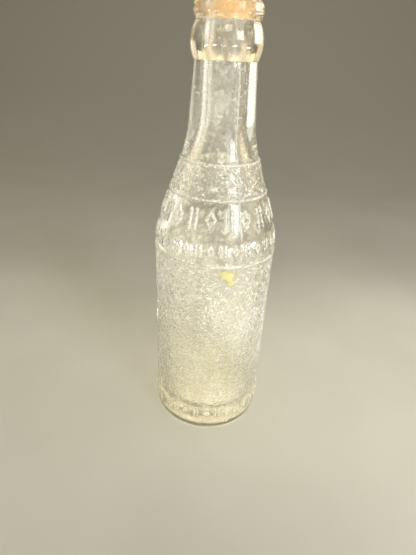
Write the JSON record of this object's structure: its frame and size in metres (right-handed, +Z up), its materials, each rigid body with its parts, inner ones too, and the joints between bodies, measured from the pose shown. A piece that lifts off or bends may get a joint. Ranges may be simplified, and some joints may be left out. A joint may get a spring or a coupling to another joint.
{
  "type": "glass soda bottle",
  "caption": "Clear glass drink bottle with a crown finish, long neck, sloping shoulder, raised rings and raised rows of lozenges and bars, with a scrap of old label.",
  "frame": {"origin": "middle of the base, on the surface that the bottle stands on", "axes": "+Z up the bottle's axis to the mouth; the front, where the label scrap is, faces -Y, and +X is to the right as seen from the front"},
  "size_m": [0.0584, 0.0584, 0.1965],
  "materials": {
    "glass": "clear, faintly straw-coloured, stippled on the body, with light wear and haze",
    "label": "old yellowed paper and gum, matt"
  },
  "bodies": {
    "root": {"glass_bottle": "glass", "label_scrap": "label"}
  },
  "joints": []
}
